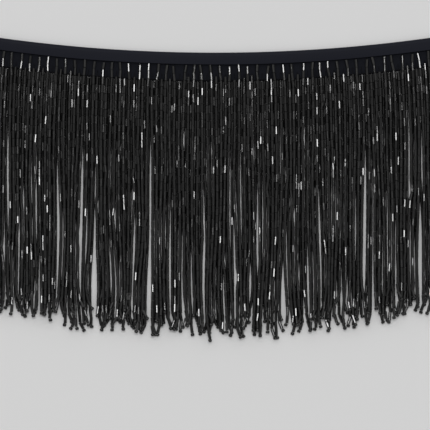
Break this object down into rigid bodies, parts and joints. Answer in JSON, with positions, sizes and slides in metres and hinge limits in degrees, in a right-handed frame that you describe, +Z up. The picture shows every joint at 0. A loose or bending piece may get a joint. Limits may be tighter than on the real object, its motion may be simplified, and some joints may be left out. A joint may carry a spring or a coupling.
{
  "type": "beaded fringe trim",
  "caption": "Length of beaded fringe trim laid flat: a folded navy-black satin ribbon heading with two rows of hanging strands of black glass bugle beads, curved edgewise.",
  "frame": {"origin": "centre of the whole trim's outline, on the surface that it lies on", "axes": "+X along the trim, +Y from the strands' tips towards the ribbon heading, +Z up from the surface, out of the trim's face"},
  "size_m": [0.2894, 0.1768, 0.004],
  "materials": {
    "satin": "navy-black polyester satin, soft sheen on the face and dull on the back",
    "jet_beads": "opaque jet-black glass bugle beads, glossy"
  },
  "bodies": {
    "root": {"satin_ribbon": "satin", "front_fringe": "jet_beads", "back_fringe": "jet_beads"}
  },
  "joints": []
}
